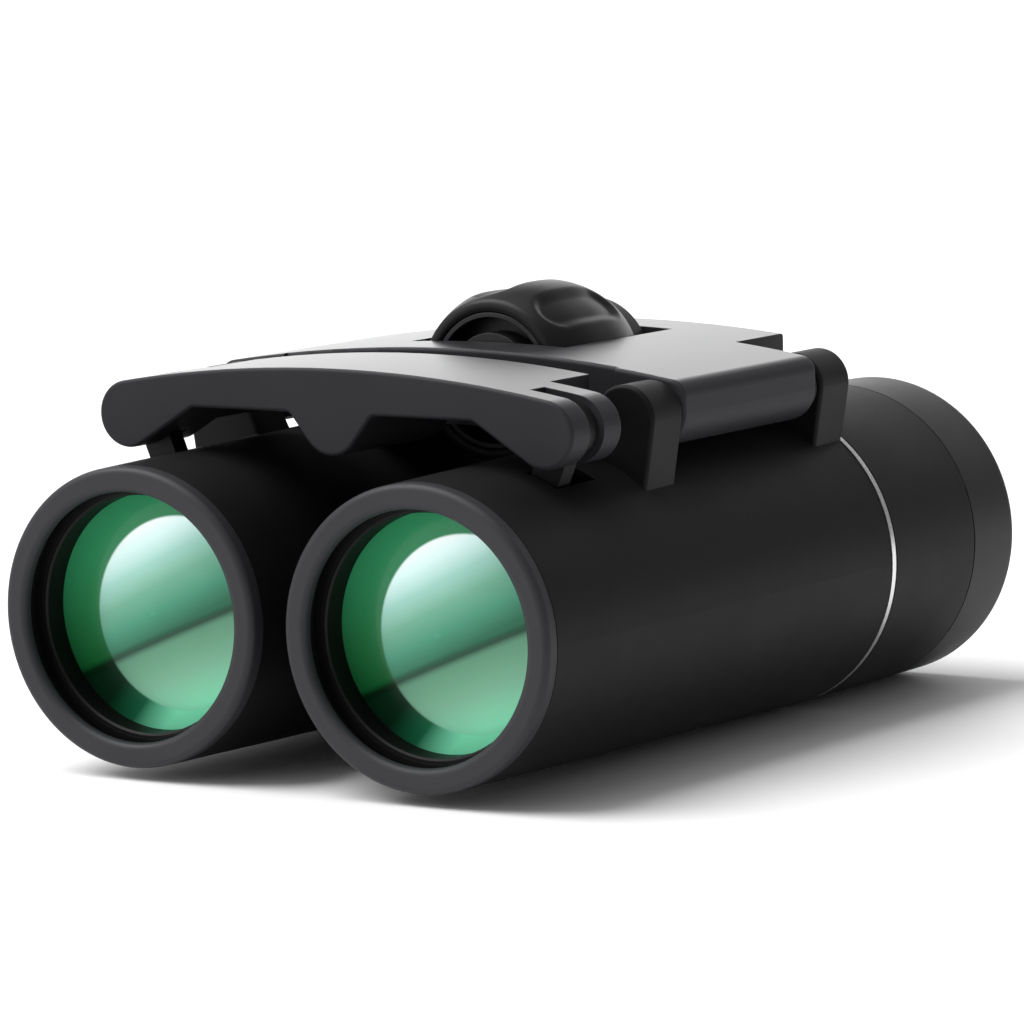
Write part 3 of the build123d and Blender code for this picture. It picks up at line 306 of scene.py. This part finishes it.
def glass_with_painted_reflection(name, node):
    """Green coated lens with a painted reflection and glow: a bright inner disc on a darker outer
    zone, both crossed by a band.
    """
    finish = Finish(name, Coat_Weight=0.2, Coat_Roughness=0.04, Specular_IOR_Level=0.2)
    middle = centre(node)
    parts = finish.node("ShaderNodeSeparateXYZ")
    finish.link(finish.place, parts.inputs[0])
    across = finish.calculate("SUBTRACT", parts.outputs["X"], middle.x / MM)
    height = finish.calculate("SUBTRACT", parts.outputs["Z"], middle.z / MM)
    # painted reflection: a soft dark band slants over the glass, and the painted colour shades
    # away from it on both sides
    band = finish.calculate("MULTIPLY_ADD", across, BAND_SLOPE, BAND_HEIGHT)
    over = finish.calculate("SUBTRACT", height, band)
    upper = finish.spread(over, 0, 1, -BAND_SOFT, BAND_SOFT)
    slant = finish.calculate("MULTIPLY_ADD", across, -SHADE_SLANT, height)
    inner_high = finish.ramp(finish.spread(slant, 0, 1, *INNER_HIGH_SPAN), INNER_HIGH)
    inner_low = finish.ramp(finish.spread(over, 0, 1, *INNER_LOW_SPAN), INNER_LOW)
    outer_high = finish.ramp(finish.spread(over, 0, 1, *OUTER_HIGH_SPAN), OUTER_HIGH)
    lean = finish.calculate("SUBTRACT", across, height)
    outer_low = finish.ramp(finish.spread(lean, 0, 1, *OUTER_LOW_SPAN), OUTER_LOW)
    # the bright inner disc is a painted reflection with a soft edge
    off = finish.calculate("SUBTRACT", across, DISC_SHIFT)
    height_squared = finish.calculate("MULTIPLY", height, height)
    reach = finish.calculate("SQRT", finish.calculate("MULTIPLY_ADD", off, off, height_squared))
    disc = finish.spread(reach, 1, 0, DISC_RADIUS - DISC_SOFT, DISC_RADIUS + DISC_SOFT)
    inner = finish.mix(upper, inner_low, inner_high)
    outer = finish.mix(upper, outer_low, outer_high)
    # green coating colour with the painted reflection laid over it
    tint_and_reflection = finish.mix(disc, outer, inner)
    film = finish.spread(finish.noise(5.0, 3.0), 0.96, 1.0)
    # painted shade: darker along the band, with a little random tone from the noise
    line = finish.spread(finish.calculate("ABSOLUTE", over), BAND_SHADE, 1.0, 0, BAND_WIDTH)
    shade = finish.calculate("MULTIPLY", film, line)
    finish.link(finish.scaled(tint_and_reflection, shade), finish.shader.inputs["Base Color"])
    finish.link(finish.calculate("MULTIPLY", disc, FILM_MIRROR), finish.shader.inputs["Metallic"])
    # painted glow: the painted colour also shines as emission
    painted_glow = finish.calculate("MULTIPLY", shade, PAINTED_GLOW)
    finish.link(finish.scaled(tint_and_reflection, painted_glow), finish.shader.inputs["Emission Color"])
    finish.shader.inputs["Emission Strength"].default_value = 1.0
    finish.roughness(finish.noise(2.0, 5.0), 0.28, 0.32)
    return finish


objective_glasses = {
    hand: glass_with_painted_reflection("objective_glass_" + hand, "objective_crown_" + hand)
    for hand in ("left", "right")
}
eye_glass = polished(
    "eye_glass", (0.02, 0.03, 0.07), (0.03, 0.04, 0.1),
    Coat_Weight=1.0, Coat_Roughness=0.02, Specular_IOR_Level=0.6,
)
optical_glass = polished(
    "optical_glass", (0.25, 0.3, 0.3), (0.35, 0.4, 0.4),
    Coat_Weight=1.0, Coat_Roughness=0.02, Transmission_Weight=0.8,
)

finishes = {
    "armour": armour,
    "rim": rim,
    "bridge": bridge,
    "wheel_hub": wheel_hub,
    "wheel_rubber": wheel_rubber,
    "eyecup_rubber": eyecup_rubber,
    "inner_black": inner_black,
    "bright_trim": bright_trim,
    "eye_glass": eye_glass,
    "optical_glass": optical_glass,
    "steel": steel,
    "brass": brass,
}

slot_of = {entry["node"]: entry["material_slot"] for entry in frame["record"]["subparts"]}
for node_name, node in frame["nodes"].items():
    slot, hand = slot_of[node_name], node_name.rsplit("_", 1)[-1]
    chosen = objective_glasses[hand] if slot == "objective_glass" else finishes[slot]
    for holder in node.material_slots:
        holder.material = chosen.material


# ---------------------------------------------------------------- pieces finer than the CAD meshes
def smooth_step(value):
    value = min(max(value, 0.0), 1.0)
    return value * value * (3 - 2 * value)


def piece(name, build, finish, node, body):
    """Turns a bmesh into a smooth-shaded piece that stands for a CAD node."""
    bmesh.ops.recalc_face_normals(build, faces=build.faces)
    mesh = bpy.data.meshes.new(name)
    build.to_mesh(mesh)
    build.free()
    for face in mesh.polygons:
        face.use_smooth = True
    mesh.materials.append(finish.material)
    made = bpy.data.objects.new(name, mesh)
    bpy.context.scene.collection.objects.link(made)
    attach(made, body)
    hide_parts(node)
    return made


def lathe(axis_x, axis_z, profile, steps, cut):
    """Closed ring about a Y axis from (radius, y) points; cut lowers the radius at an angle."""
    build = bmesh.new()
    rows = []
    for index in range(steps):
        angle = 2 * math.pi * index / steps
        row = []
        for radius, y in profile:
            reach = radius - cut(angle, radius, y)
            row.append(build.verts.new((
                axis_x + reach * math.cos(angle), y, axis_z + reach * math.sin(angle),
            )))
        rows.append(row)
    count = len(profile)
    for index in range(steps):
        here, there = rows[index], rows[(index + 1) % steps]
        for point in range(count):
            after = (point + 1) % count
            build.faces.new((here[point], here[after], there[after], there[point]))
    return build


# Focus wheel's grip: barrel-shaped rubber with long soft finger pockets. GRIP_SWELL sets how
# square its shoulders are, and the chamfer breaks the edges of its ends.
POCKETS = 7
POCKET_DEPTH = 0.65 * MM
POCKET_HALF_LENGTH = 4.4 * MM
POCKET_REACH = 2.9 * MM
POCKET_EDGE = 1.5 * MM
grip_low, grip_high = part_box("focus_wheel_grip")
grip_middle = (grip_low + grip_high) / 2
GRIP_RADIUS = (grip_high.x - grip_low.x) / 2
GRIP_FACE = 8.2 * MM
GRIP_BORE = 7.02 * MM
GRIP_SWELL = 2.6
GRIP_CHAMFER = 0.25 * MM
GRIP_BORE_CHAMFER = 0.2 * MM
GRIP_STATIONS = 64
GRIP_STEPS = 336


def grip_radius(y):
    share = abs(y - grip_middle.y) / ((grip_high.y - grip_low.y) / 2)
    return GRIP_RADIUS - (GRIP_RADIUS - GRIP_FACE) * share ** GRIP_SWELL


def pocket(angle, radius, y):
    if radius < GRIP_FACE:
        return 0.0
    turn = angle * POCKETS / (2 * math.pi)
    arc = (turn - round(turn)) * 2 * math.pi / POCKETS * GRIP_RADIUS
    along = max(abs(y - grip_middle.y) - POCKET_HALF_LENGTH, 0.0)
    distance = math.hypot(arc, along)
    return POCKET_DEPTH * smooth_step((POCKET_REACH - distance) / POCKET_EDGE)


grip_length = grip_high.y - grip_low.y
outer_line = []
for index in range(GRIP_STATIONS + 1):
    y = grip_low.y + grip_length * index / GRIP_STATIONS
    outer_line.append((grip_radius(y), y))
outer_line[0] = (GRIP_FACE - GRIP_CHAMFER, grip_low.y)
outer_line[-1] = (GRIP_FACE - GRIP_CHAMFER, grip_high.y)
grip_profile = [
    (GRIP_BORE, grip_low.y + GRIP_BORE_CHAMFER),
    (GRIP_BORE + GRIP_BORE_CHAMFER, grip_low.y),
    *outer_line,
    (GRIP_BORE, grip_high.y),
]
grip_mesh = lathe(grip_middle.x, grip_middle.z, grip_profile, GRIP_STEPS, pocket)
piece("wheel_grip", grip_mesh, wheel_rubber, "focus_wheel_grip", "focus_wheel")

# ---------------------------------------------------------------- studio
FLOOR_HALF = 20
floor_mesh = bpy.data.meshes.new("floor")
floor_build = bmesh.new()
bmesh.ops.create_grid(floor_build, x_segments=2, y_segments=2, size=FLOOR_HALF)
floor_build.to_mesh(floor_mesh)
floor_build.free()
floor = bpy.data.objects.new("floor", floor_mesh)
bpy.context.scene.collection.objects.link(floor)
floor_finish = Finish("floor", Roughness=0.7, Specular_IOR_Level=0.2)
floor_finish.colour(floor_finish.noise(40.0, 2.0), grey(0.88), grey(0.9))
floor.data.materials.append(floor_finish.material)

world = bpy.data.worlds.new("studio")
bpy.context.scene.world = world
world.use_nodes = True
background = world.node_tree.nodes["Background"]
background.inputs["Color"].default_value = (1, 1, 1, 1)
background.inputs["Strength"].default_value = 0.27


def softbox(name, place, aim, width, height, power):
    """White rectangular area light turned to face a point."""
    light = bpy.data.lights.new(name, "AREA")
    light.shape = "RECTANGLE"
    light.size, light.size_y = width, height
    light.energy = power
    holder = bpy.data.objects.new(name, light)
    bpy.context.scene.collection.objects.link(holder)
    holder.location = place
    holder.rotation_euler = (Vector(aim) - Vector(place)).to_track_quat("-Z", "Y").to_euler()


sun = bpy.data.lights.new("sun", "SUN")
sun.energy = 3.6
sun.angle = math.radians(50)
sun_holder = bpy.data.objects.new("sun", sun)
bpy.context.scene.collection.objects.link(sun_holder)
sun_holder.rotation_euler = Vector((0.55, 0.3, -1.0)).to_track_quat("-Z", "Y").to_euler()
softbox("back", (-1.6, 3.0, 0.75), (0, 0, 0.03), 5.0, 1.6, 46.0)
softbox("front", (-0.75, -0.85, 0.42), (0, -0.03, 0.03), 1.5, 0.9, 4.2)
softbox("top", (-0.1, 0.1, 1.1), (0, 0, 0), 0.9, 0.9, 2.2)

# ---------------------------------------------------------------- camera
CAMERA_PLACE = (0.302284, -0.486366, 0.094634)
CAMERA_LENS = 195.17
YAW, PITCH, ROLL = 0.5583562, 0.1258438, -0.0175657
view = Vector((
    -math.sin(YAW) * math.cos(PITCH), math.cos(YAW) * math.cos(PITCH), -math.sin(PITCH),
))
level = view.cross(Vector((0, 0, 1))).normalized()
upright = level.cross(view)
across = math.cos(ROLL) * level + math.sin(ROLL) * upright
up = -math.sin(ROLL) * level + math.cos(ROLL) * upright
camera_data = bpy.data.cameras.new("camera")
camera_data.lens = CAMERA_LENS
camera_data.sensor_width = 36
camera_data.clip_start = 0.05
camera_data.clip_end = 60
camera = bpy.data.objects.new("camera", camera_data)
bpy.context.scene.collection.objects.link(camera)
camera.matrix_world = Matrix.Translation(CAMERA_PLACE) @ Matrix(
    (across, up, -view)
).transposed().to_4x4()
bpy.context.scene.camera = camera
bpy.context.scene.view_settings.view_transform = "Standard"
